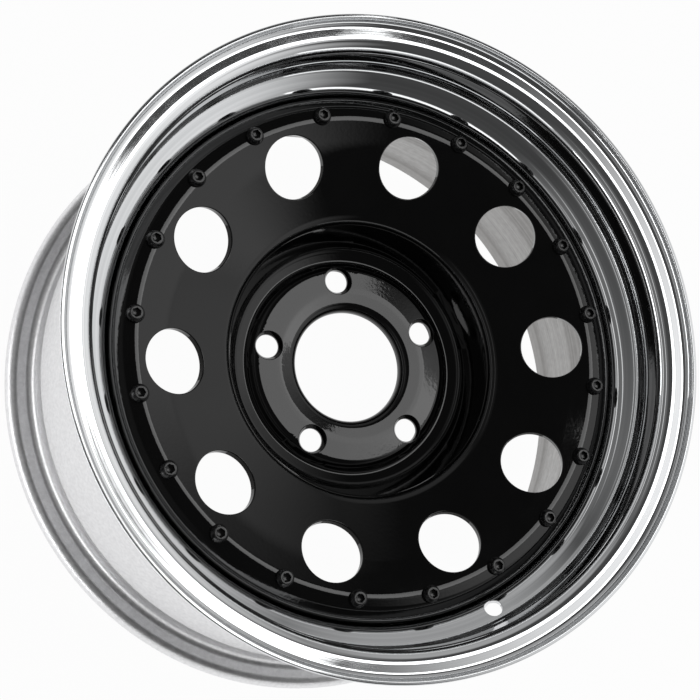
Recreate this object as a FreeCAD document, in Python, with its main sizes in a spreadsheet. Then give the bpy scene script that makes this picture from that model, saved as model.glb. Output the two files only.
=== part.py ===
"""Steel off-road wheel, 15 x 7 inch, 5 x 114.3 mm, with a pressed disc and a ring of edge bolts.

The origin is the centre of the hub on the mounting face, and +Z points outboard along the axle.
"""
import FreeCAD, Part
import math
import os

import Sketcher
from FreeCAD import Placement, Rotation, Vector

SIZES = {
    # Rim: one rolled sheet, measured on the tyre side
    "rim_width": 177.8,
    "front_spacing": 88.9,
    "rim_thickness": 3.0,
    "bead_seat_diameter": 380.2,
    "bead_seat_taper": 5.0,
    "flange_height": 18.1,
    "flange_roll": 7.6,
    "lip_run": 1.8,
    "bead_fillet": 6.5,
    "lip_round": 1.0,
    "hump_distance": 20.0,
    "hump_width": 5.0,
    "hump_rise": 0.8,
    "hump_round": 10.0,
    "wall_shoulder": 8.8,
    "wall_shoulder_drop": 0.5,
    "wall_round": 6.5,
    "wall_run": 8.4,
    "wall_foot_round": 6.0,
    "well_depth": 16.4,
    "well_floor_width": 54.8,
    "well_slope_round": 30.0,
    # Valve hole, square to the front wall of the well
    "valve_hole_diameter": 11.5,
    "valve_rise": 5.4,
    "valve_angle": 287.6,
    # Disc: one pressed sheet, measured on the outboard side from the mounting face
    "disc_thickness": 5.0,
    "disc_fit_clearance": 0.1,
    "hub_bore_diameter": 73.1,
    "hub_lip_gap": 1.8,
    "hub_lip_inside_bend": 1.2,
    "boss_height": 11.0,
    "boss_margin": 8.35,
    "boss_inside_bend": 1.5,
    "boss_slope_run": 5.0,
    "valley_inner_bend": 3.0,
    "valley_width": 9.0,
    "valley_outer_bend": 6.0,
    "riser_run": 10.5,
    "ledge_inside_bend": 5.0,
    "face_inner_rise": 15.4,
    "face_bend": 100.0,
    "face_outer_rise": 4.1,
    "face_outer_run": 20.0,
    "land_height": 56.4,
    "land_width": 11.5,
    "land_inner_bend": 30.0,
    "land_outer_bend": 12.0,
    "edge_run": 9.1,
    "edge_drop": 4.9,
    "edge_inside_bend": 2.0,
    "disc_flange_length": 26.0,
    # Openings in the disc
    "vent_count": 10,
    "vent_diameter": 40.6,
    "vent_margin": 1.8,
    "vent_angle": 105.4,
    "lug_count": 5,
    "lug_circle_diameter": 114.3,
    "lug_hole_diameter": 15.2,
    "lug_seat_diameter": 19.2,
    "lug_seat_angle": 60.0,
    "lug_angle": 90.0,
    # Edge bolts
    "bolt_count": 20,
    "bolt_angle": 94.8,
    "bolt_head_diameter": 11.6,
    "bolt_head_height": 4.4,
    "bolt_head_side": 1.4,
    "bolt_side_round": 2.5,
    "bolt_top_diameter": 8.4,
    "bolt_top_round": 0.8,
    "bolt_shank_diameter": 8.0,
    "bolt_shank_length": 12.0,
    "bolt_hole_clearance": 0.1,
    "socket_width": 5.0,
    "socket_depth": 2.8,
    # Weld seams between the disc's flange and the rim
    "seam_count": 4,
    "seam_length": 155.0,
    "seam_angle": 19.0,
    "seam_leg": 6.0,
    "seam_clearance": 0.05,
}

# Places worked out from the sizes, as expressions on the sheet
SEAT_RADIUS = "sizes.bead_seat_diameter / 2"
CREST_RADIUS = f"({SEAT_RADIUS} + sizes.flange_height)"
FRONT_FACE = "sizes.front_spacing"
REAR_FACE = "(sizes.front_spacing - sizes.rim_width)"
FRONT_LIP = f"({FRONT_FACE} + sizes.flange_roll + sizes.lip_run)"
REAR_LIP = f"({REAR_FACE} - sizes.flange_roll - sizes.lip_run)"
WELL_RADIUS = f"({SEAT_RADIUS} - sizes.well_depth)"
TAPER = "tan(sizes.bead_seat_taper * 1 deg)"
HUMP_FOOT = "(sizes.hump_distance - sizes.hump_width)"
HUMP_FOOT_RADIUS = f"({SEAT_RADIUS} - {HUMP_FOOT} * {TAPER})"
HUMP_RADIUS = f"({HUMP_FOOT_RADIUS} + sizes.hump_rise)"
WALL_TOP_RADIUS = f"({HUMP_FOOT_RADIUS} - sizes.wall_shoulder_drop)"
WALL_TOP = f"({FRONT_FACE} - sizes.hump_distance - sizes.wall_shoulder)"
WALL_FOOT = f"({WALL_TOP} - sizes.wall_run)"
WALL_LEAN = f"atan(sizes.wall_run / ({WALL_TOP_RADIUS} - {WELL_RADIUS}))"
VALVE_RADIUS = f"({WELL_RADIUS} + sizes.valve_rise)"
VALVE_HEIGHT = f"({WALL_FOOT} + sizes.valve_rise * tan({WALL_LEAN}))"
WELL_INSIDE = f"({WELL_RADIUS} - sizes.rim_thickness)"
BORE_RADIUS = "sizes.hub_bore_diameter / 2"
LUG_RADIUS = "sizes.lug_circle_diameter / 2"
BOSS_RADIUS = f"({LUG_RADIUS} + sizes.boss_margin)"
VALLEY_INNER = f"({BOSS_RADIUS} + sizes.boss_slope_run)"
VALLEY_OUTER = f"({VALLEY_INNER} + sizes.valley_width)"
LEDGE_RADIUS = f"({VALLEY_OUTER} + sizes.riser_run)"
DISC_RADIUS = f"({WELL_INSIDE} - sizes.disc_fit_clearance)"
LAND_OUTER = f"({DISC_RADIUS} - sizes.edge_run)"
LAND_INNER = f"({LAND_OUTER} - sizes.land_width)"
BEND_RADIUS = f"({LAND_INNER} - sizes.face_outer_run)"
BEND_HEIGHT = "(sizes.land_height - sizes.face_outer_rise)"
LEDGE_HEIGHT = f"({BEND_HEIGHT} - sizes.face_inner_rise)"
EDGE_HEIGHT = "(sizes.land_height - sizes.edge_drop)"
FLANGE_END = f"({EDGE_HEIGHT} - sizes.disc_flange_length)"
VENT_RADIUS = f"({LAND_INNER} - sizes.vent_margin - sizes.vent_diameter / 2)"
VENT_LEAN = f"atan((sizes.land_height - {LEDGE_HEIGHT}) / ({LAND_INNER} - {LEDGE_RADIUS}))"
BOLT_RADIUS = f"({LAND_OUTER} - sizes.land_width / 2)"

# A bend takes at most this share of a straight run that has another bend, or an end, on its far side
SHARED_RUN = 0.49
END_RUN = 0.9


def make_sheet(doc):
    """Put every driving dimension in a sheet under its own name."""
    sheet = doc.addObject("Spreadsheet::Sheet", "sizes")
    for row, (name, value) in enumerate(SIZES.items(), start=1):
        sheet.set(f"A{row}", name)
        sheet.set(f"B{row}", str(value))
        sheet.setAlias(f"B{row}", name)
    doc.recompute()
    return sheet


def point_at(owner, place):
    """The point that a pair of expressions gives."""
    return Vector(float(owner.evalExpression(place[0])), float(owner.evalExpression(place[1])), 0)


def bind(sketch, kind, expression, *elements):
    """Add a dimension to a sketch and tie it to an expression on the sheet."""
    value = float(sketch.evalExpression(expression))
    index = sketch.addConstraint(Sketcher.Constraint(kind, *elements, value))
    sketch.setExpression(f"Constraints[{index}]", expression)


def bind_point(sketch, place, element, end):
    """Hold a point of a sketch at a pair of expressions from the origin."""
    bind(sketch, "DistanceX", place[0], -1, 1, element, end)
    bind(sketch, "DistanceY", place[1], -1, 1, element, end)


def draw_outline(sketch, corners, closed=False):
    """Draw straight runs from corner to corner, with a bend where a corner gives one.

    Each corner is a place across, a place up and, where it is bent, a radius, which the runs limit.
    """
    points = [point_at(sketch, corner) for corner in corners]
    count = len(points)
    runs = count if closed else count - 1
    inner = range(0 if closed else 1, runs)
    for run in range(runs):
        sketch.addGeometry(Part.LineSegment(points[run], points[(run + 1) % count]))
    for run in inner:
        sketch.addConstraint(Sketcher.Constraint("Coincident", (run - 1) % count, 2, run, 1))
    if not closed:
        bind_point(sketch, corners[0], 0, 1)
        bind_point(sketch, corners[-1], runs - 1, 2)
    for run in inner:
        before = (run - 1) % count
        corner = corners[run]
        if len(corner) == 2:
            bind_point(sketch, corner, run, 1)
            continue
        place = points[run]
        back = points[before] - place
        ahead = points[(run + 1) % count] - place
        back_share = END_RUN if before == 0 and not closed else SHARED_RUN
        ahead_share = END_RUN if run == runs - 1 and not closed else SHARED_RUN
        room = min(back.Length * back_share, ahead.Length * ahead_share)
        limit = room * math.tan(back.getAngle(ahead) / 2)
        bend = f"min({corner[2]}; {limit:.6f})"
        arc = sketch.GeometryCount
        sketch.fillet(before, run, place + back * 0.01, place + ahead * 0.01,
                      float(sketch.evalExpression(bend)), True, True)
        bind(sketch, "Radius", bend, arc)
        bind_point(sketch, corner, arc + 1, 1)


def sheet_section(doc, name, corners):
    """One side of a bent sheet, drawn in the XZ plane."""
    sketch = doc.addObject("Sketcher::SketchObject", name)
    sketch.Placement = Placement(Vector(), Rotation(Vector(1, 0, 0), 90))
    draw_outline(sketch, corners)
    return sketch


def turned_sheet(doc, name, section, thickness):
    """Give a section its thickness and turn it about the axle."""
    sheet = doc.addObject("Part::Offset2D", f"{name}_sheet")
    sheet.Source = section
    sheet.Mode = "Skin"
    sheet.Join = "Arc"
    sheet.Fill = True
    sheet.setExpression("Value", thickness)
    turned = doc.addObject("Part::Revolution", f"{name}_blank")
    turned.Source = sheet
    turned.Axis = Vector(0, 0, 1)
    turned.Angle = 360
    turned.Solid = True
    doc.recompute()
    return turned


def new_body(doc, name, blank=None):
    """A body under its own name, on a blank where it has one."""
    body = doc.addObject("PartDesign::Body", name)
    body.Label = name
    if blank is not None:
        body.BaseFeature = blank
        doc.recompute()
    return body


def origin_feature(body, role):
    """A plane or axis of a body's own origin."""
    return next(item for item in body.Origin.OriginFeatures if item.Role == role)


def new_sketch(body, name, plane="XY_Plane"):
    """A sketch of a body on one of its origin planes."""
    sketch = body.newObject("Sketcher::SketchObject", name)
    sketch.AttachmentSupport = [(origin_feature(body, plane), "")]
    sketch.MapMode = "FlatFace"
    return sketch


def place_sketch(sketch, radius, height, angle, lean="0"):
    """Stand a sketch square to a line that leans to the axle, at a radius, a height and an angle."""
    turn = Rotation(Vector(0, 0, 1), float(sketch.evalExpression(angle)))
    tip = Rotation(Vector(0, 1, 0), -float(sketch.evalExpression(lean)))
    sketch.AttachmentOffset = Placement(Vector(), turn * tip)
    sketch.setExpression("AttachmentOffset.Base.x", f"({radius}) * cos({angle} * 1 deg)")
    sketch.setExpression("AttachmentOffset.Base.y", f"({radius}) * sin({angle} * 1 deg)")
    sketch.setExpression("AttachmentOffset.Base.z", height)


def add_circle(sketch, diameter):
    """A circle about the sketch's own origin."""
    radius = float(sketch.evalExpression(diameter)) / 2
    circle = sketch.addGeometry(Part.Circle(Vector(), Vector(0, 0, 1), radius))
    sketch.addConstraint(Sketcher.Constraint("Coincident", circle, 3, -1, 1))
    bind(sketch, "Diameter", diameter, circle)


def add_hexagon(sketch, width):
    """A hexagon about the sketch's own origin, by its width across flats."""
    half = float(sketch.evalExpression(width)) / 2
    corner = Vector(half / 0.75 ** 0.5, 0, 0)
    sixth = Rotation(Vector(0, 0, 1), 60)
    points = [corner]
    for _ in range(5):
        points.append(sixth.multVec(points[-1]))
    sides = [sketch.addGeometry(Part.LineSegment(points[n], points[(n + 1) % 6])) for n in range(6)]
    ring = sketch.addGeometry(Part.Circle(Vector(), Vector(0, 0, 1), corner.x), True)
    sketch.addConstraint(Sketcher.Constraint("Coincident", ring, 3, -1, 1))
    for n in range(6):
        sketch.addConstraint(Sketcher.Constraint("Coincident", sides[n], 2, sides[(n + 1) % 6], 1))
        sketch.addConstraint(Sketcher.Constraint("PointOnObject", sides[n], 1, ring))
    for n in range(5):
        sketch.addConstraint(Sketcher.Constraint("Equal", sides[n], sides[n + 1]))
    sketch.addConstraint(Sketcher.Constraint("PointOnObject", sides[0], 1, -1))
    bind(sketch, "Diameter", f"{width} / cos(30 deg)", ring)


def cut_through(doc, body, sketch, name, depth):
    """Cut a sketch through the sheet, as far on both sides of its plane."""
    before = body.Shape.Volume
    pocket = body.newObject("PartDesign::Pocket", name)
    pocket.Profile = sketch
    pocket.Midplane = True
    pocket.setExpression("Length", depth)
    doc.recompute()
    assert pocket.Shape.Volume < before, f"{name} cuts nothing"
    return pocket


def ring_of(doc, body, name, features, count):
    """Repeat features evenly round the axle."""
    pattern = body.newObject("PartDesign::PolarPattern", name)
    pattern.Originals = features
    pattern.Axis = (origin_feature(body, "Z_Axis"), [""])
    pattern.Angle = 360
    pattern.setExpression("Occurrences", count)
    body.Tip = pattern
    doc.recompute()
    return pattern


def make_rim(doc):
    """The rolled rim: lips, flanges, bead seats, humps and the drop well, with a valve hole."""
    hump_round = "sizes.hump_round"
    section = sheet_section(doc, "rim_section", [
        (CREST_RADIUS, FRONT_LIP),
        (CREST_RADIUS, FRONT_FACE, "sizes.flange_roll"),
        (SEAT_RADIUS, FRONT_FACE, "sizes.bead_fillet"),
        (HUMP_FOOT_RADIUS, f"{FRONT_FACE} - {HUMP_FOOT}", hump_round),
        (HUMP_RADIUS, f"{FRONT_FACE} - sizes.hump_distance", hump_round),
        (WALL_TOP_RADIUS, WALL_TOP, "sizes.wall_round"),
        (WELL_RADIUS, WALL_FOOT, "sizes.wall_foot_round"),
        (WELL_RADIUS, f"{WALL_FOOT} - sizes.well_floor_width", "sizes.well_slope_round"),
        (HUMP_RADIUS, f"{REAR_FACE} + sizes.hump_distance", hump_round),
        (HUMP_FOOT_RADIUS, f"{REAR_FACE} + {HUMP_FOOT}", hump_round),
        (SEAT_RADIUS, REAR_FACE, "sizes.bead_fillet"),
        (CREST_RADIUS, REAR_FACE, "sizes.flange_roll"),
        (CREST_RADIUS, REAR_LIP),
    ])
    blank = turned_sheet(doc, "rim", section, "-sizes.rim_thickness")
    body = new_body(doc, "rim", blank)

    lips = [float(body.evalExpression(lip)) for lip in (FRONT_LIP, REAR_LIP)]
    edges = [f"Edge{number}" for number, edge in enumerate(body.Shape.Edges, start=1)
             if any(abs(edge.BoundBox.ZMin - lip) + abs(edge.BoundBox.ZMax - lip) < 0.01 for lip in lips)]
    turned = body.Tip
    rounds = body.newObject("PartDesign::Fillet", "lip_rounds")
    rounds.Base = (turned, edges)
    rounds.setExpression("Radius", "sizes.lip_round")
    doc.recompute()

    sketch = new_sketch(body, "valve_hole_outline")
    place_sketch(sketch, VALVE_RADIUS, VALVE_HEIGHT, "sizes.valve_angle", f"{WALL_LEAN} / 1 deg")
    add_circle(sketch, "sizes.valve_hole_diameter")
    cut_through(doc, body, sketch, "valve_hole", "6 * sizes.rim_thickness")
    return body


def make_disc(doc):
    """The pressed disc with its vents, lug holes and bolt holes."""
    section = sheet_section(doc, "disc_section", [
        (BORE_RADIUS, "sizes.hub_lip_gap"),
        (BORE_RADIUS, "sizes.boss_height", "sizes.disc_thickness + sizes.hub_lip_inside_bend"),
        (BOSS_RADIUS, "sizes.boss_height", "sizes.disc_thickness + sizes.boss_inside_bend"),
        (VALLEY_INNER, "sizes.disc_thickness", "sizes.valley_inner_bend"),
        (VALLEY_OUTER, "sizes.disc_thickness", "sizes.valley_outer_bend"),
        (LEDGE_RADIUS, LEDGE_HEIGHT, "sizes.disc_thickness + sizes.ledge_inside_bend"),
        (BEND_RADIUS, BEND_HEIGHT, "sizes.face_bend"),
        (LAND_INNER, "sizes.land_height", "sizes.land_inner_bend"),
        (LAND_OUTER, "sizes.land_height", "sizes.land_outer_bend"),
        (DISC_RADIUS, EDGE_HEIGHT, "sizes.disc_thickness + sizes.edge_inside_bend"),
        (DISC_RADIUS, FLANGE_END),
    ])
    blank = turned_sheet(doc, "disc", section, "-sizes.disc_thickness")
    body = new_body(doc, "wheel_disc", blank)

    sketch = new_sketch(body, "vent_outline")
    place_sketch(sketch, VENT_RADIUS, BEND_HEIGHT, "sizes.vent_angle", f"{VENT_LEAN} / 1 deg")
    add_circle(sketch, "sizes.vent_diameter")
    vent = cut_through(doc, body, sketch, "vent", "6 * sizes.disc_thickness")
    ring_of(doc, body, "vents", [vent], "sizes.vent_count")

    sketch = new_sketch(body, "bolt_hole_outline")
    place_sketch(sketch, BOLT_RADIUS, "sizes.land_height", "sizes.bolt_angle")
    add_circle(sketch, "sizes.bolt_shank_diameter + 2 * sizes.bolt_hole_clearance")
    bolt_hole = cut_through(doc, body, sketch, "bolt_hole", "4 * sizes.disc_thickness")
    ring_of(doc, body, "bolt_holes", [bolt_hole], "sizes.bolt_count")

    sketch = new_sketch(body, "lug_hole_outline")
    place_sketch(sketch, LUG_RADIUS, "sizes.boss_height", "sizes.lug_angle")
    add_circle(sketch, "sizes.lug_hole_diameter")
    before = body.Shape.Volume
    doc.recompute()
    lug_hole = body.newObject("PartDesign::Hole", "lug_hole")
    lug_hole.Profile = sketch
    lug_hole.DepthType = "ThroughAll"
    lug_hole.HoleCutType = "Countersink"
    lug_hole.setExpression("Diameter", "sizes.lug_hole_diameter")
    lug_hole.setExpression("HoleCutDiameter", "sizes.lug_seat_diameter")
    lug_hole.setExpression("HoleCutCountersinkAngle", "sizes.lug_seat_angle")
    doc.recompute()
    assert lug_hole.Shape.Volume < before, "lug_hole cuts nothing"
    ring_of(doc, body, "lug_holes", [lug_hole], "sizes.lug_count")
    return body


def turn_profile(doc, body, sketch, name, angle, axis):
    """Turn a closed profile about an axis, as far on both sides of its plane."""
    turned = body.newObject("PartDesign::Revolution", name)
    turned.Profile = sketch
    turned.ReferenceAxis = axis
    turned.Midplane = True
    turned.setExpression("Angle", angle)
    doc.recompute()
    return turned


def spin_body(body, angle):
    """Turn a finished body about the axle."""
    body.Placement = Placement(Vector(), Rotation(Vector(0, 0, 1), 1))
    body.setExpression("Placement.Rotation.Angle", angle)


def make_bolts(doc):
    """The ring of socket-head bolts: one bolt turned on its own axis, repeated round the axle."""
    body = new_body(doc, "edge_bolts")
    body.AllowCompound = True
    sketch = new_sketch(body, "bolt_profile", "XZ_Plane")
    sketch.setExpression("AttachmentOffset.Base.x", BOLT_RADIUS)
    sketch.setExpression("AttachmentOffset.Base.y", "sizes.land_height")
    head = "sizes.bolt_head_diameter / 2"
    shank = "sizes.bolt_shank_diameter / 2"
    draw_outline(sketch, [
        ("0", "-sizes.bolt_shank_length"),
        (shank, "-sizes.bolt_shank_length"),
        (shank, "0"),
        (head, "0"),
        (head, "sizes.bolt_head_side", "sizes.bolt_side_round"),
        ("sizes.bolt_top_diameter / 2", "sizes.bolt_head_height", "sizes.bolt_top_round"),
        ("0", "sizes.bolt_head_height"),
    ], closed=True)
    bolt = turn_profile(doc, body, sketch, "bolt", "360", (sketch, ["V_Axis"]))

    sketch = new_sketch(body, "socket_outline")
    place_sketch(sketch, BOLT_RADIUS, "sizes.land_height + sizes.bolt_head_height", "0")
    add_hexagon(sketch, "sizes.socket_width")
    before = body.Shape.Volume
    socket = body.newObject("PartDesign::Pocket", "socket")
    socket.Profile = sketch
    socket.setExpression("Length", "sizes.socket_depth")
    doc.recompute()
    assert socket.Shape.Volume < before, "socket cuts nothing"
    ring_of(doc, body, "bolts", [bolt, socket], "sizes.bolt_count")
    spin_body(body, "sizes.bolt_angle")
    return body


def make_seam(doc, number):
    """One weld seam in the corner between the end of the disc's flange and the inside of the rim."""
    body = new_body(doc, f"weld_seam_{number}")
    sketch = new_sketch(body, f"seam_profile_{number}", "XZ_Plane")
    against_rim = f"({WELL_INSIDE} - sizes.seam_clearance)"
    against_disc = f"({FLANGE_END} - sizes.seam_clearance)"
    draw_outline(sketch, [
        (against_rim, against_disc),
        (f"{DISC_RADIUS} - sizes.disc_thickness", against_disc),
        (against_rim, f"{FLANGE_END} - sizes.seam_leg"),
    ], closed=True)
    axle = (origin_feature(body, "Z_Axis"), [""])
    span = f"sizes.seam_length / {WELL_INSIDE} * 180 / pi"
    turn_profile(doc, body, sketch, f"seam_{number}", span, axle)
    spin_body(body, f"sizes.seam_angle + {number - 1} * 360 / sizes.seam_count")
    return body


def check_and_write(doc, bodies):
    """Make sure that every object is sound, then write one file for each piece."""
    doc.recompute()
    for item in doc.Objects:
        assert "Invalid" not in item.State and "Error" not in item.State, f"{item.Name} is not sound"
    os.makedirs("parts", exist_ok=True)
    for body in bodies:
        assert not body.Shape.isNull() and body.Shape.isValid(), f"{body.Label} has no valid shape"
        body.Shape.exportStep(f"parts/{body.Label}.step")


document = FreeCAD.newDocument("steel_wheel")
make_sheet(document)
pieces = [make_rim(document), make_disc(document), make_bolts(document)]
pieces += [make_seam(document, number + 1) for number in range(SIZES["seam_count"])]
check_and_write(document, pieces)
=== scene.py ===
"""Looks for the steel wheel: chromed rim, black disc, edge bolts, welds, studio floor, light and camera."""
import math

import bmesh
import bpy
from mathutils import Matrix, Vector


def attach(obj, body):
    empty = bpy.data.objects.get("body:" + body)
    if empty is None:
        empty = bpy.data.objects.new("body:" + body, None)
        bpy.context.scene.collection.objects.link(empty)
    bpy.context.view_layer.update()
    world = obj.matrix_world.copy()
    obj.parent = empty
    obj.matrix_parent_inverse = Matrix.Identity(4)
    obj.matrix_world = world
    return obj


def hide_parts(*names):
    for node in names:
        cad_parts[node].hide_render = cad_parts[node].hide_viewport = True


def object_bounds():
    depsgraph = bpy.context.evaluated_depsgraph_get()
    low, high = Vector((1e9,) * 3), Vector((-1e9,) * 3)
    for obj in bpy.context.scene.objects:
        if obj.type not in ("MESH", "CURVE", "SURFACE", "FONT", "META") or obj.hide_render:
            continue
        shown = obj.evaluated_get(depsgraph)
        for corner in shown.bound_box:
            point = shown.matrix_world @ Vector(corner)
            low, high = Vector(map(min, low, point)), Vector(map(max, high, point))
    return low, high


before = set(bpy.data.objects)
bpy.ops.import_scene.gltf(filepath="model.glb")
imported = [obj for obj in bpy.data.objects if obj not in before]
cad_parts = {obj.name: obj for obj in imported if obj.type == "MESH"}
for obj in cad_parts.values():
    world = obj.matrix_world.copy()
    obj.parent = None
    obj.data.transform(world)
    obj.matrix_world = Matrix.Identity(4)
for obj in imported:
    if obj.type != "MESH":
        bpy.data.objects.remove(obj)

cad_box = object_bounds()

MM = 0.001
SEGMENTS = 360
RUN_STEP = 2.6
TURN_STEP = math.radians(9)
CORNER_STEPS = 4
END_POINTS = 2 * (CORNER_STEPS + 1)

# Sections of the two sheets, close to those of the solids: radius, height and bend, in millimetres

BEAD_SEAT = 190.1
CREST = BEAD_SEAT + 18.1
LIP = 9.4
SEAT_WIDTH = 15.0
SEAT_SLOPE = math.radians(5)
HUMP_END = 20.0
HUMP_RISE = 0.8
HUMP_FOOT = BEAD_SEAT - SEAT_WIDTH * math.tan(SEAT_SLOPE)
WELL = BEAD_SEAT - 16.4
WELL_LENGTH = 54.8
FRONT_FACE = 88.9
FLANGE_BEND = 7.6
SEAT_BEND = 6.5
HUMP_BEND = 10.0
WALL_TOP_BEND = 10.0
WALL_FOOT_BEND = 12.0
WELL_BEND = 30.0
WALL_TOP = Vector((HUMP_FOOT - 0.5, FRONT_FACE - 28.8))
WALL_FOOT = Vector((WELL, WALL_TOP.y - 8.4))
WALL_LEAN = math.atan2(WALL_TOP.y - WALL_FOOT.y, WALL_TOP.x - WALL_FOOT.x)
RIM_THICKNESS = 3.0
RIM_SECTION = [
    (CREST, FRONT_FACE + LIP),
    (CREST, FRONT_FACE, FLANGE_BEND),
    (BEAD_SEAT, FRONT_FACE, SEAT_BEND),
    (HUMP_FOOT, FRONT_FACE - SEAT_WIDTH, HUMP_BEND),
    (HUMP_FOOT + HUMP_RISE, FRONT_FACE - HUMP_END, HUMP_BEND),
    (WALL_TOP.x, WALL_TOP.y, WALL_TOP_BEND),
    (WELL, WALL_FOOT.y, WALL_FOOT_BEND),
    (WELL, WALL_FOOT.y - WELL_LENGTH, WELL_BEND),
    (HUMP_FOOT + HUMP_RISE, HUMP_END - FRONT_FACE, HUMP_BEND),
    (HUMP_FOOT, SEAT_WIDTH - FRONT_FACE, HUMP_BEND),
    (BEAD_SEAT, -FRONT_FACE, SEAT_BEND),
    (CREST, -FRONT_FACE, FLANGE_BEND),
    (CREST, -FRONT_FACE - LIP),
]
DISC_THICKNESS = 5.0
DISC_RADIUS = WELL - RIM_THICKNESS - 0.1
LAND_HEIGHT = 56.4
LAND_OUTER = DISC_RADIUS - 9.1
LAND_INNER = LAND_OUTER - 11.5
LAND_FALL = 0.85
LEDGE = Vector((90.0, LAND_HEIGHT - 19.5))
BOSS_HEIGHT = 11.0
BORE = 36.55
BORE_FOOT = 1.8
CROWN_BEND = 25.0
DOME_BEND = 100.0
FLANGE_FOOT = LAND_HEIGHT - 30.9
DISC_SECTION = [
    (BORE, BORE_FOOT),
    (BORE, BOSS_HEIGHT - 1.2, 6.2),                         # inner edge of the nut pad
    (48.5, BOSS_HEIGHT, CROWN_BEND),
    (52.0, BOSS_HEIGHT, CROWN_BEND),
    (65.5, BOSS_HEIGHT - 0.66, 6.5),                        # outer edge of the nut pad
    (70.5, DISC_THICKNESS - 0.4, 3.0),                      # valley
    (79.5, DISC_THICKNESS + 1.8, 6.0),                      # foot of the riser
    (LEDGE.x, LEDGE.y, 10.0),                               # top of the riser
    (LAND_INNER - 14.0, LAND_HEIGHT - 4.0, DOME_BEND),
    (LAND_INNER + 4.0, LAND_HEIGHT, 13.0),                  # crest of the land
    (LAND_OUTER, LAND_HEIGHT - LAND_FALL, 12.0),
    (DISC_RADIUS, LAND_HEIGHT - 4.9, 7.0),                  # edge turned inboard
    (DISC_RADIUS, FLANGE_FOOT),
]
VALVE_RADIUS = 5.75
VALVE_UP_WALL = 5.4
VALVE_TURN = 287.6
VENT_RADIUS = 20.3
VENT_PLACE = Vector((LAND_INNER - 22.1, LAND_HEIGHT - 4.1))
VENT_TURN = 105.4
VENTS = 10
LUG_RADIUS = 7.6
LUG_PLACE = Vector((57.15, BOSS_HEIGHT))
LUG_TURN = 90.0
LUGS = 5
SEAT_MOUTH = 9.6
SEAT_SLANT = math.radians(30)
CHROME_FOOT = 30.0
SATIN_TOP = FRONT_FACE + 1.0
# Inside the barrel, from CHROME_FOOT down to this height, the plating is darkened as painted shade behind the
# disc
PAINTED_SHADE_FOOT = 2.0 - FRONT_FACE


def step_angle(step):
    """The angle of a step round the axle."""
    return math.radians(step * 360 / SEGMENTS)


def turned(vector, angle):
    """A flat vector turned anticlockwise."""
    c, s = math.cos(angle), math.sin(angle)
    return Vector((vector.x * c - vector.y * s, vector.x * s + vector.y * c))


def bend_path(corners):
    """Points and side normals along straight runs with round bends."""
    places = [Vector(corner[:2]) for corner in corners]
    last = len(places) - 1
    start = places[0]
    path = []
    for n in range(1, last + 1):
        along = (places[n] - places[n - 1]).normalized()
        side = Vector((-along.y, along.x))
        turn, setback = 0.0, 0.0
        if n < last:
            ahead = (places[n + 1] - places[n]).normalized()
            turn = math.atan2(along.x * ahead.y - along.y * ahead.x, along.dot(ahead))
            setback = corners[n][2] * math.tan(abs(turn) / 2)
        end = places[n] - along * setback
        pieces = max(1, round((end - start).length / RUN_STEP))
        path += [(start.lerp(end, q / pieces), side) for q in range(pieces)]
        if n == last:
            path.append((end, side))
            break
        bend = corners[n][2]
        centre = end + side * math.copysign(bend, turn)
        pieces = max(3, math.ceil(abs(turn) / TURN_STEP), round(abs(turn) * bend / RUN_STEP))
        for q in range(pieces):
            angle = turn * q / pieces
            path.append((centre + turned(end - centre, angle), turned(side, angle)))
        start = places[n] + ahead * setback
    return path


def round_end(place, side, outward, thickness, radius):
    """The rounded end of a sheet, from its drawn side to its other side."""
    points = []
    for q in range(CORNER_STEPS + 1):
        angle = math.radians(90 * q / CORNER_STEPS)
        normal = side * math.cos(angle) + outward * math.sin(angle)
        points.append((place - (side + outward) * radius + normal * radius, normal))
    for q in range(CORNER_STEPS + 1):
        angle = math.radians(90 * q / CORNER_STEPS)
        normal = outward * math.cos(angle) - side * math.sin(angle)
        points.append((place - side * (thickness - radius) - outward * radius + normal * radius, normal))
    return points


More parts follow.
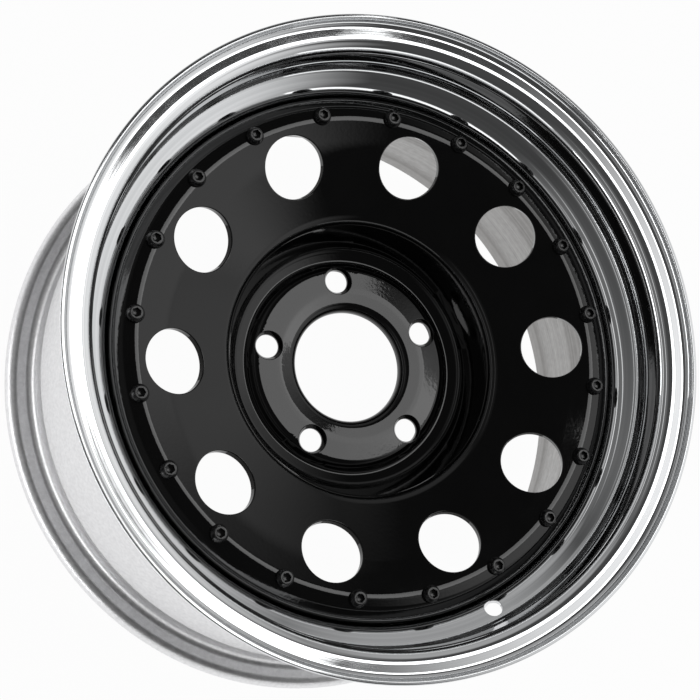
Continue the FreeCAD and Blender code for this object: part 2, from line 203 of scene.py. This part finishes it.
class Sheet:
    """A bent sheet turned about the axle, with round holes cut square or with a cone seat."""

    GRID_MARGIN = 2.5
    ROW_MARGIN = 2.0
    SEARCH_ROWS = 3
    SEARCH_REACH = 20.0
    HALVINGS = 36
    SHARES = (0.3, 0.6, 0.85, 1.0)
    EDGE_SHARES = (0.35, 0.7, 1.0)
    SEAT_LEAD = 0.3
    BORE_LEAD = 0.2

    def __init__(self, corners, thickness, end_round):
        path = bend_path(corners)
        first_out = turned(path[0][1], math.radians(90))
        last_out = turned(path[-1][1], math.radians(-90))
        self.face = path[1:-1]
        self.back = [(place - side * thickness, -side) for place, side in self.face]
        head = round_end(path[0][0], path[0][1], first_out, thickness, end_round)
        tail = round_end(path[-1][0], path[-1][1], last_out, thickness, end_round)
        self.loop = self.face + tail + self.back[::-1] + head[::-1]
        self.vertices = []
        self.normals = []
        for place, side in self.loop:
            for step in range(SEGMENTS):
                self.add_point(place, side, step_angle(step))
        self.faces = []
        self.open_cells = set()

    def add_point(self, place, side, angle):
        """Add a point of the turned surface and give its number."""
        c, s = math.cos(angle), math.sin(angle)
        self.vertices.append(Vector((place.x * c, place.x * s, place.y)))
        self.normals.append(Vector((side.x * c, side.x * s, side.y)))
        return len(self.vertices) - 1

    def add_free_point(self, point, normal):
        """Add a point that isn't on the turned surface and give its number."""
        self.vertices.append(point)
        self.normals.append(normal.normalized())
        return len(self.vertices) - 1

    def row(self, number, on_face):
        """The loop's number for a point of the drawn side or of the other side."""
        if on_face:
            return number
        return len(self.face) + END_POINTS + len(self.face) - 1 - number

    def nearest(self, line, place, low, high):
        """Signed distance of a flat point from a side of the sheet, and where along it."""
        best = None
        for n in range(low, high):
            a, b = line[n][0], line[n + 1][0]
            run = b - a
            q = min(1.0, max(0.0, (place - a).dot(run) / run.length_squared))
            gap = place - a - run * q
            if best is None or gap.length_squared < best[0]:
                side = line[n][1].lerp(line[n + 1][1], q)
                best = (gap.length_squared, gap.dot(side), n + q)
        return best[1], best[2]

    def meet(self, line, origin, direction, low, high):
        """Where a straight line through a hole's wall meets a side: spot along it, angle and point."""
        sign = 1.0 if line is self.face else -1.0
        above = self.SEARCH_REACH * sign
        below = -above
        for _ in range(self.HALVINGS):
            middle = (above + below) / 2
            point = origin + direction * middle
            gap, spot = self.nearest(line, Vector((point.xy.length, point.z)), low, high)
            if gap > 0:
                above = middle
            else:
                below = middle
        return spot, math.atan2(point.y, point.x), point

    def on_line(self, line, spot):
        """Place and side normal at a spot between two points of a side."""
        n = min(int(spot), len(line) - 2)
        q = spot - n
        return line[n][0].lerp(line[n + 1][0], q), line[n][1].lerp(line[n + 1][1], q).normalized()

    def cut_holes(self, centre, lean, radius, edge, first, count, seat=None):
        """Cut a ring of round holes. A seat is the radius of a cone's mouth and its half angle."""
        axis = Vector((-math.sin(lean), 0, math.cos(lean)))
        across = Vector((math.cos(lean), 0, math.sin(lean)))
        around = Vector((0, 1, 0))
        middle = Vector((centre.x, 0, centre.y))
        mouth, flare = seat or (radius, 0.0)
        reach = mouth + edge + self.GRID_MARGIN
        spread = [n for n, (place, _) in enumerate(self.face)
                  if (Vector((place.x, 0, place.y)) - middle).length < reach + self.ROW_MARGIN]
        low, high = spread[0], spread[-1]
        first_step = round(first * SEGMENTS / 360)
        offset = math.radians(first) - step_angle(first_step)
        half = math.ceil(math.degrees(reach / centre.x) * SEGMENTS / 360) + 1
        frame_cells = ([(low, step) for step in range(-half, half)]
                       + [(number, half) for number in range(low, high)]
                       + [(high, step) for step in range(half, -half, -1)]
                       + [(number, -half) for number in range(high, low, -1)])
        ways = []
        for number, step in frame_cells:
            angle = step_angle(step) - offset
            place = self.face[number][0]
            point = Vector((place.x * math.cos(angle), place.x * math.sin(angle), place.y)) - middle
            ways.append(math.atan2(point.dot(around), point.dot(across)))

        def ring_on(line, size, flare_angle):
            rows = []
            start = max(low - self.SEARCH_ROWS, 0)
            for way in ways:
                out = across * math.cos(way) + around * math.sin(way)
                direction = axis * math.cos(flare_angle) + out * math.sin(flare_angle)
                rows.append(self.meet(line, middle + out * size, direction, start, high + self.SEARCH_ROWS))
            return rows

        face_rim = ring_on(self.face, mouth + edge, flare)
        face_edge = ring_on(self.face, mouth, flare)
        back_rim = ring_on(self.back, radius + edge, 0.0)
        back_edge = ring_on(self.back, radius, 0.0)
        for n in range(count):
            home = first_step + n * SEGMENTS // count
            self.fill_hole(home, offset, frame_cells, ways, (axis, across, around, middle),
                           (face_rim, face_edge, back_rim, back_edge), (mouth, radius, edge, flare),
                           (low, high, half))

    def fill_hole(self, home, offset, frame_cells, ways, axes, rims, sizes, cells):
        """Join the grid round one hole to the hole's edges and wall."""
        axis, across, around, middle = axes
        face_rim, face_edge, back_rim, back_edge = rims
        mouth, radius, edge, flare = sizes
        low, high, half = cells
        spin = step_angle(home) + offset
        turn = Matrix.Rotation(spin, 3, "Z")
        for number in range(low, high):
            for step in range(-half, half):
                self.open_cells.add((number, (home + step) % SEGMENTS))
                self.open_cells.add((self.row(number + 1, False), (home + step) % SEGMENTS))

        def grid_ring(on_face):
            return [self.row(number, on_face) * SEGMENTS + (home + step) % SEGMENTS
                    for number, step in frame_cells]

        def between(line, rim, share):
            ring = []
            for (number, step), (spot, angle, _) in zip(frame_cells, rim):
                start = step_angle(step) - offset
                place, side = self.on_line(line, number + (spot - number) * share)
                ring.append(self.add_point(place, side, spin + start + (angle - start) * share))
            return ring

        def edge_rings(rim, sharp, upward, slant):
            rings = []
            for q in self.EDGE_SHARES:
                ring = []
                for way, outer, corner in zip(ways, rim, sharp):
                    out = across * math.cos(way) + around * math.sin(way)
                    lower = corner[2] - (upward * math.cos(slant) + out * math.sin(slant)) * edge
                    wall = upward * math.sin(slant) - out * math.cos(slant)
                    point = outer[2] * (1 - q) ** 2 + corner[2] * (2 * q * (1 - q)) + lower * q ** 2
                    ring.append(self.add_free_point(turn @ point, turn @ (upward * (1 - q) + wall * q)))
                rings.append(ring)
            return rings

        rings = [grid_ring(True)]
        rings += [between(self.face, face_rim, share) for share in self.SHARES]
        rings += edge_rings(face_rim, face_edge, axis, flare)
        if flare:
            depth = (mouth - radius) / math.tan(flare)
            for drop, slant in ((depth - self.SEAT_LEAD, flare), (depth + self.BORE_LEAD, 0.0)):
                ring = []
                for way in ways:
                    out = across * math.cos(way) + around * math.sin(way)
                    reach = radius + max(0.0, depth - drop) * math.tan(flare)
                    point = middle + out * reach - axis * drop
                    normal = axis * math.sin(slant) - out * math.cos(slant)
                    ring.append(self.add_free_point(turn @ point, turn @ normal))
                rings.append(ring)
        rings += edge_rings(back_rim, back_edge, -axis, 0.0)[::-1]
        rings += [between(self.back, back_rim, share) for share in self.SHARES[::-1]]
        rings.append(grid_ring(False))
        for ring, after in zip(rings, rings[1:]):
            for n in range(len(ring)):
                m = (n + 1) % len(ring)
                self.faces.append((ring[n], ring[m], after[m], after[n]))

    def mesh(self, name, slot_of=None):
        """The finished mesh in metres. slot_of gives a cell's material by its row in the loop."""
        rows = len(self.loop)
        slots = [0] * len(self.faces)
        for number in range(rows):
            after = (number + 1) % rows
            for step in range(SEGMENTS):
                if (number, step) in self.open_cells:
                    continue
                beside = (step + 1) % SEGMENTS
                self.faces.append((number * SEGMENTS + step, number * SEGMENTS + beside,
                                   after * SEGMENTS + beside, after * SEGMENTS + step))
                slots.append(slot_of(number) if slot_of else 0)
        mesh = bpy.data.meshes.new(name)
        mesh.from_pydata([vertex * MM for vertex in self.vertices], [], self.faces)
        mesh.polygons.foreach_set("material_index", slots)
        work = bmesh.new()
        work.from_mesh(mesh)
        bmesh.ops.recalc_face_normals(work, faces=work.faces)
        work.to_mesh(mesh)
        work.free()
        mesh.shade_smooth()
        mesh.normals_split_custom_set_from_vertices(self.normals)
        return mesh


def add_piece(name, mesh, node):
    """Put a mesh in the scene in place of a node."""
    piece = bpy.data.objects.new(name, mesh)
    bpy.context.scene.collection.objects.link(piece)
    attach(piece, "root")
    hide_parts(node)
    return piece


rim = Sheet(RIM_SECTION, RIM_THICKNESS, end_round=1.0)
valve_place = Vector((WELL + VALVE_UP_WALL, WALL_FOOT.y + VALVE_UP_WALL * math.tan(WALL_LEAN)))
rim.cut_holes(valve_place, WALL_LEAN + math.pi, VALVE_RADIUS, edge=0.5, first=VALVE_TURN, count=1)


def rim_finish(number):
    """Bright plating inside the front of the rim and round its lip, satin outside, and inside the rear a
    darker plating that is painted shade behind the disc.
    """
    place, _ = rim.loop[number]
    bright_slot, satin_slot, painted_shade_slot = 0, 1, 2
    if number < len(rim.face):
        return bright_slot if place.y > SATIN_TOP else satin_slot
    if place.y > CHROME_FOOT:
        return bright_slot
    # Inside the rear of the barrel the darker slot is painted shade
    return painted_shade_slot if place.y > PAINTED_SHADE_FOOT else satin_slot


rim_piece = add_piece("rim_turned", rim.mesh("rim_turned", rim_finish), "rim")

disc = Sheet(DISC_SECTION, DISC_THICKNESS, end_round=0.8)
vent_lean = math.atan2(LAND_HEIGHT - LEDGE.y, LAND_INNER - LEDGE.x)
disc.cut_holes(VENT_PLACE, vent_lean, VENT_RADIUS, edge=0.8, first=VENT_TURN, count=VENTS)
lug_seat = (SEAT_MOUTH, SEAT_SLANT)
disc.cut_holes(LUG_PLACE, 0.0, LUG_RADIUS, edge=0.4, first=LUG_TURN, count=LUGS, seat=lug_seat)
disc_piece = add_piece("disc_pressed", disc.mesh("disc_pressed"), "wheel_disc")


BOLTS = 20
BOLT_TURN = 94.8
BOLT_CIRCLE = LAND_OUTER - 5.75
BOLT_SIDES = 48
HEAD_RADIUS = 5.8
HEAD_TOP = LAND_HEIGHT + 4.4
HEAD_UNDER = LAND_HEIGHT - LAND_FALL
HEAD_SIDE = 1.4
HEAD_BEND = 2.5
CROWN_RADIUS = 4.2
CROWN_ROUND = 0.8
SOCKET_RIM = 3.2
SHANK_RADIUS = 4.0
SHANK_FOOT = LAND_HEIGHT - 12.0
SHANK_CHAMFER = 0.8
SOCKET_HALF = 2.66
SOCKET_NARROWING = 0.94
SOCKET_LEAD = 0.25
SOCKET_FOOT = HEAD_TOP - 2.8
DRILL_POINT = 0.8


def bolt_mesh(name):
    """All the edge bolts: domed heads with hexagon sockets and plain shanks."""
    sides = BOLT_SIDES
    outline = [Vector((SHANK_RADIUS - SHANK_CHAMFER, SHANK_FOOT)),
               Vector((SHANK_RADIUS, SHANK_FOOT + SHANK_CHAMFER)),
               Vector((SHANK_RADIUS, HEAD_UNDER)),
               Vector((HEAD_RADIUS, HEAD_UNDER))]
    dome = bend_path([(HEAD_RADIUS, LAND_HEIGHT), (HEAD_RADIUS, LAND_HEIGHT + HEAD_SIDE, HEAD_BEND),
                      (CROWN_RADIUS, HEAD_TOP, CROWN_ROUND), (SOCKET_RIM, HEAD_TOP)])
    outline += [place for place, _ in dome]
    socket = ((HEAD_TOP, 1.0), (HEAD_TOP - SOCKET_LEAD, SOCKET_NARROWING), (SOCKET_FOOT, SOCKET_NARROWING))
    rows = len(outline) + len(socket)
    vertices, faces = [], []
    for n in range(BOLTS):
        spin = math.radians(BOLT_TURN + 360 / BOLTS * n)
        centre = Vector((math.cos(spin), math.sin(spin), 0)) * BOLT_CIRCLE
        base = len(vertices)
        for place in outline:
            for k in range(sides):
                way = math.tau * k / sides
                vertices.append(centre + Vector((place.x * math.cos(way), place.x * math.sin(way), place.y)))
        for height, share in socket:
            for k in range(sides):
                way = math.tau * k / sides
                flat = (way + spin) % (math.pi / 3) - math.pi / 6
                reach = SOCKET_HALF * share / math.cos(flat)
                vertices.append(centre + Vector((reach * math.cos(way), reach * math.sin(way), height)))
        for row in range(rows - 1):
            for k in range(sides):
                m = (k + 1) % sides
                faces.append((base + row * sides + k, base + row * sides + m,
                              base + (row + 1) * sides + m, base + (row + 1) * sides + k))
        vertices.append(centre + Vector((0, 0, SOCKET_FOOT - DRILL_POINT)))
        vertices.append(centre + Vector((0, 0, SHANK_FOOT)))
        last = base + (rows - 1) * sides
        for k in range(sides):
            m = (k + 1) % sides
            faces.append((last + k, last + m, len(vertices) - 2))
            faces.append((base + m, base + k, len(vertices) - 1))
    mesh = bpy.data.meshes.new(name)
    mesh.from_pydata([vertex * MM for vertex in vertices], [], faces)
    mesh.shade_smooth()
    mesh.set_sharp_from_angle(angle=math.radians(35))
    return mesh


bolts_piece = add_piece("edge_bolts_turned", bolt_mesh("edge_bolts_turned"), "edge_bolts")


WELDS = 4
WELD_TURN = 19.0
WELD_HALF = math.radians(26.0)
WELD_GAP = 0.05
WELD_LEG = 5.9
WELD_CROWN = 0.5
WELD_END = 6.0
END_SIZE = 0.15
RIPPLE_HEIGHT = 0.22
RIPPLE_PITCH = 2.7
RIPPLE_BOW = 0.35
WELD_OUTWARD = Vector((-0.76, -0.65))


def weld_mesh(name, middle):
    """A weld bead with a rippled skin, in the corner between the disc's flange and the rim."""
    steps, across = 220, 10
    half = WELD_HALF
    corner = Vector((DISC_RADIUS + WELD_GAP, FLANGE_FOOT - WELD_GAP))
    on_disc = Vector((DISC_RADIUS - DISC_THICKNESS, corner.y))
    on_rim = Vector((corner.x, corner.y - WELD_LEG))
    vertices, faces = [], []
    for step in range(steps + 1):
        angle = half * (2 * step / steps - 1)
        run = angle * corner.x
        from_end = min(1.0, (half * corner.x - abs(run)) / WELD_END)
        size = END_SIZE + (1 - END_SIZE) * math.sqrt(1 - (1 - from_end) ** 2)
        ring = [corner]
        for q in range(across + 1):
            t = q / across
            crown = 4 * t * (1 - t)
            wave = math.sin(math.tau * (run / RIPPLE_PITCH - RIPPLE_BOW * crown))
            ripple = RIPPLE_HEIGHT * wave * math.sqrt(crown)
            skin = on_disc.lerp(on_rim, t) + WELD_OUTWARD * (WELD_CROWN * crown + ripple)
            ring.append(corner + (skin - corner) * size)
        spin = math.radians(middle) + angle
        for place in ring:
            vertices.append(Vector((place.x * math.cos(spin), place.x * math.sin(spin), place.y)))
    width = across + 2
    for step in range(steps):
        for q in range(width):
            r = (q + 1) % width
            faces.append((step * width + q, step * width + r, (step + 1) * width + r, (step + 1) * width + q))
    faces.append(tuple(range(width - 1, -1, -1)))
    faces.append(tuple(range(steps * width, (steps + 1) * width)))
    mesh = bpy.data.meshes.new(name)
    mesh.from_pydata([vertex * MM for vertex in vertices], [], faces)
    work = bmesh.new()
    work.from_mesh(mesh)
    bmesh.ops.recalc_face_normals(work, faces=work.faces)
    work.to_mesh(mesh)
    work.free()
    mesh.shade_smooth()
    mesh.set_sharp_from_angle(angle=math.radians(50))
    return mesh


weld_pieces = []
for n in range(1, WELDS + 1):
    bead = weld_mesh(f"weld_bead_{n}", WELD_TURN + 360 / WELDS * (n - 1))
    weld_pieces.append(add_piece(f"weld_bead_{n}", bead, f"weld_seam_{n}"))


class Nodes:
    """A node tree, with short ways to add nodes and fill their inputs."""

    def __init__(self, tree):
        self.tree = tree

    def fill(self, node, inputs):
        """Give a node's inputs their numbers or join them to other nodes."""
        for key, value in inputs.items():
            if isinstance(value, bpy.types.NodeSocket):
                self.tree.links.new(value, node.inputs[key])
            else:
                node.inputs[key].default_value = value

    def node(self, kind, inputs, **settings):
        """Add a node."""
        node = self.tree.nodes.new("ShaderNode" + kind)
        for key, value in settings.items():
            setattr(node, key, value)
        self.fill(node, inputs)
        return node


class Paint(Nodes):
    """A material made of noise, shades and bumps."""

    def __init__(self, name):
        self.material = bpy.data.materials.new(name)
        self.material.use_nodes = True
        super().__init__(self.material.node_tree)
        self.shader = self.tree.nodes["Principled BSDF"]
        self.place = self.node("TexCoord", {}).outputs["Object"]

    def noise(self, scale, detail, vector=None):
        """Cloudy noise with this many clouds to the metre."""
        inputs = {"Vector": vector or self.place, "Scale": scale, "Detail": detail, "Roughness": 0.55}
        return self.node("TexNoise", inputs).outputs["Fac"]

    def spread(self, value, low, high):
        """A noise value spread over a range."""
        inputs = {"Value": value, "From Min": 0.3, "From Max": 0.7, "To Min": low, "To Max": high}
        return self.node("MapRange", inputs).outputs["Result"]

    def shades(self, value, dark, light):
        """A noise value as a colour between two."""
        inputs = {0: self.spread(value, 0.0, 1.0), 6: (*dark, 1), 7: (*light, 1)}
        return self.node("Mix", inputs, data_type="RGBA").outputs[2]

    def around(self):
        """A place that changes only across the turned surface, so marks run round the axle."""
        flat = self.node("VectorMath", {0: self.place, 1: (1, 1, 0)}, operation="MULTIPLY")
        reach = self.node("VectorMath", {0: flat.outputs[0]}, operation="LENGTH")
        height = self.node("SeparateXYZ", {0: self.place})
        return self.node("CombineXYZ", {"X": reach.outputs["Value"], "Z": height.outputs["Z"]}).outputs[0]

    def bump(self, height, distance, under=None):
        """A bump of this many metres, on top of another."""
        inputs = {"Height": height, "Distance": distance, "Strength": 1.0}
        if under:
            inputs["Normal"] = under
        return self.node("Bump", inputs).outputs["Normal"]


chrome = Paint("mirror_chrome")
rolled = chrome.bump(chrome.noise(scale=230, detail=3.0, vector=chrome.around()), distance=0.00003)
fine_rings = chrome.noise(scale=1500, detail=2.0, vector=chrome.around())
polish = chrome.bump(fine_rings, distance=0.0000015, under=rolled)
chrome.fill(chrome.shader, {
    "Base Color": chrome.shades(chrome.noise(scale=380, detail=4.0, vector=chrome.around()),
                                dark=(0.60, 0.61, 0.62), light=(0.86, 0.87, 0.88)),
    "Metallic": 1.0,
    "Roughness": chrome.spread(chrome.noise(scale=45, detail=4.0), low=0.03, high=0.075),
    "Normal": polish,
})

satin = Paint("satin_plating")
satin.fill(satin.shader, {
    "Base Color": satin.shades(satin.noise(scale=400, detail=3.0),
                               dark=(0.74, 0.74, 0.75), light=(0.85, 0.85, 0.86)),
    "Metallic": 1.0,
    "Roughness": satin.spread(satin.noise(scale=500, detail=3.0), low=0.30, high=0.44),
    "Normal": satin.bump(satin.noise(scale=700, detail=2.0), distance=0.00002),
})

# Darker plating inside the rear of the barrel: painted shade standing for the shade behind the disc, with the
# same roughness as the satin
shaded_plating = Paint("painted_shade_plating")
shaded_plating.fill(shaded_plating.shader, {
    "Base Color": shaded_plating.shades(shaded_plating.noise(scale=300, detail=3.0, vector=shaded_plating.around()),
                              dark=(0.22, 0.215, 0.21), light=(0.34, 0.335, 0.33)),
    "Metallic": 1.0,
    "Roughness": shaded_plating.spread(shaded_plating.noise(scale=250, detail=3.0), low=0.30, high=0.42),
    "Normal": shaded_plating.bump(shaded_plating.noise(scale=700, detail=2.0), distance=0.00002),
})

black = Paint("gloss_black")
black.fill(black.shader, {
    "Base Color": black.shades(black.noise(scale=30, detail=4.0),
                               dark=(0.0015, 0.0015, 0.0016), light=(0.003, 0.003, 0.0031)),
    "Roughness": black.spread(black.noise(scale=60, detail=4.0), low=0.03, high=0.07),
    "Normal": black.bump(black.noise(scale=520, detail=1.0), distance=0.000015),
})

bolt_black = Paint("bolt_black")
bolt_black.fill(bolt_black.shader, {
    "Base Color": bolt_black.shades(bolt_black.noise(scale=200, detail=4.0),
                                    dark=(0.003, 0.003, 0.0032), light=(0.006, 0.006, 0.0063)),
    "Roughness": bolt_black.spread(bolt_black.noise(scale=300, detail=4.0), low=0.12, high=0.22),
    "Normal": bolt_black.bump(bolt_black.noise(scale=900, detail=2.0), distance=0.00001),
})

weld = Paint("weld_steel")
weld.fill(weld.shader, {
    "Base Color": weld.shades(weld.noise(scale=150, detail=4.0),
                              dark=(0.20, 0.19, 0.18), light=(0.40, 0.39, 0.38)),
    "Metallic": 1.0,
    "Roughness": weld.spread(weld.noise(scale=400, detail=4.0), low=0.35, high=0.55),
    "Normal": weld.bump(weld.noise(scale=600, detail=3.0), distance=0.0001),
})

rim_piece.data.materials.append(chrome.material)
rim_piece.data.materials.append(satin.material)
# Third slot: the painted shade inside the rear of the barrel
rim_piece.data.materials.append(shaded_plating.material)
disc_piece.data.materials.append(black.material)
bolts_piece.data.materials.append(bolt_black.material)
for piece in weld_pieces:
    piece.data.materials.append(weld.material)

# Camera at the photograph's viewing angle

camera_data = bpy.data.cameras.new("camera")
camera_data.lens = 86.54
camera_data.sensor_width = 36.0
camera_data.shift_y = 0.043
camera = bpy.data.objects.new("camera", camera_data)
camera.location = (-0.4078, -0.1571, 1.0262)
camera.rotation_euler = (math.radians(10.824), math.radians(-20.461), math.radians(-8.753))
bpy.context.scene.collection.objects.link(camera)
bpy.context.scene.camera = camera

# Floor

FLOOR_REACH = 40.0
FLOOR_GAP = 0.0005
FLOOR_WHITE = 0.97
floor_mesh = bpy.data.meshes.new("floor")
ground = cad_box[0][2] - FLOOR_GAP
corners = [(x * FLOOR_REACH, y * FLOOR_REACH, ground) for x, y in ((-1, -1), (1, -1), (1, 1), (-1, 1))]
floor_mesh.from_pydata(corners, [], [(0, 1, 2, 3)])
floor = bpy.data.objects.new("floor", floor_mesh)
bpy.context.scene.collection.objects.link(floor)
floor_paint = Paint("floor_paint")
floor_paint.fill(floor_paint.shader, {
    "Base Color": (0.8, 0.8, 0.8, 1),
    "Roughness": floor_paint.spread(floor_paint.noise(scale=20, detail=3.0), low=0.8, high=0.9),
})
rays = floor_paint.node("LightPath", {})
seen = floor_paint.node("Math", {0: rays.outputs["Is Camera Ray"], 1: rays.outputs["Is Glossy Ray"]},
                        operation="MAXIMUM")
seen = floor_paint.node("Math", {0: seen.outputs[0], 1: rays.outputs["Is Transmission Ray"]},
                        operation="MAXIMUM")
share = floor_paint.node("Math", {0: seen.outputs[0], 1: FLOOR_WHITE}, operation="MULTIPLY")
shining = floor_paint.node("Emission", {"Strength": 1.0})
white = floor_paint.node("MixShader", {0: share.outputs[0], 1: floor_paint.shader.outputs[0],
                                       2: shining.outputs[0]})
floor_paint.tree.links.new(white.outputs[0], floor_paint.tree.nodes["Material Output"].inputs["Surface"])
floor_mesh.materials.append(floor_paint.material)

# Light: a pale surround that is dark overhead, with soft glows, and soft boxes beside and over the wheel

world = bpy.data.worlds.new("studio")
world.use_nodes = True
bpy.context.scene.world = world
sky = Nodes(world.node_tree)
toward = sky.node("TexCoord", {}).outputs["Generated"]
height = sky.node("SeparateXYZ", {0: toward}).outputs["Z"]
rise_angle = sky.node("Math", {0: height}, operation="ARCSINE").outputs[0]


def fade(value, near, far, level, after):
    """A soft change from one level to another as a value grows."""
    inputs = {"Value": value, "From Min": near, "From Max": far, "To Min": level, "To Max": after}
    return sky.node("MapRange", inputs, interpolation_type="SMOOTHSTEP").outputs["Result"]


GLOW_FULL = 0.5
GLOW_END = 1.5


def glow(under, turn, rise, half_turn, half_rise, radiance):
    """A soft-edged glow in the surround: degrees round the axle, degrees up, and half its size each way."""
    spun = sky.node("VectorRotate", {"Vector": toward, "Angle": -math.radians(turn)}, rotation_type="Z_AXIS")
    flat = sky.node("SeparateXYZ", {0: spun.outputs[0]}).outputs
    aside = sky.node("Math", {0: flat["Y"], 1: flat["X"]}, operation="ARCTAN2").outputs[0]
    aside = sky.node("Math", {0: aside}, operation="ABSOLUTE").outputs[0]
    above = sky.node("Math", {0: rise_angle, 1: math.radians(rise)}, operation="SUBTRACT").outputs[0]
    above = sky.node("Math", {0: above}, operation="ABSOLUTE").outputs[0]
    half_turn = math.radians(half_turn)
    half_rise = math.radians(half_rise)
    across = fade(aside, half_turn * GLOW_FULL, half_turn * GLOW_END, radiance, 0.0)
    upright = fade(above, half_rise * GLOW_FULL, half_rise * GLOW_END, 1.0, 0.0)
    lit = sky.node("Math", {0: across, 1: upright}, operation="MULTIPLY").outputs[0]
    return sky.node("Math", {0: under, 1: lit}, operation="MAXIMUM").outputs[0]


level = fade(height, near=0.02, far=0.42, level=0.7, after=0.065)
level = glow(level, turn=-8, rise=27, half_turn=46, half_rise=22, radiance=0.90)
level = glow(level, turn=-2, rise=52, half_turn=26, half_rise=14, radiance=1.10)
level = glow(level, turn=75, rise=26, half_turn=34, half_rise=16, radiance=0.42)
level = glow(level, turn=165, rise=38, half_turn=70, half_rise=26, radiance=0.17)
level = glow(level, turn=170, rise=46, half_turn=50, half_rise=2.2, radiance=0.80)
level = glow(level, turn=160, rise=22, half_turn=50, half_rise=2.0, radiance=1.00)
sky.fill(sky.tree.nodes["Background"], {"Color": (1.0, 1.0, 1.0, 1), "Strength": level})


LAMP_REACH = 8.0


def softbox(name, turn, rise, width, height, radiance):
    """A soft box far from the wheel and aimed at it: degrees round the axle and degrees up."""
    light = bpy.data.lights.new(name, "AREA")
    light.shape = "RECTANGLE"
    light.size, light.size_y = width, height
    light.energy = radiance * math.pi * width * height
    lamp = bpy.data.objects.new(name, light)
    turn, rise = math.radians(turn), math.radians(rise)
    way = Vector((math.cos(turn) * math.cos(rise), math.sin(turn) * math.cos(rise), math.sin(rise)))
    lamp.location = way * LAMP_REACH
    lamp.rotation_euler = way.to_track_quat("Z", "Y").to_euler()
    bpy.context.scene.collection.objects.link(lamp)


softbox("key_box", turn=23, rise=68.5, width=2.8, height=2.4, radiance=2.5)
softbox("left_strip", turn=188, rise=3.4, width=12.0, height=1.0, radiance=4.2)
softbox("low_strip", turn=270, rise=15, width=11.2, height=1.35, radiance=1.0)

bpy.context.scene.view_settings.view_transform = "Standard"
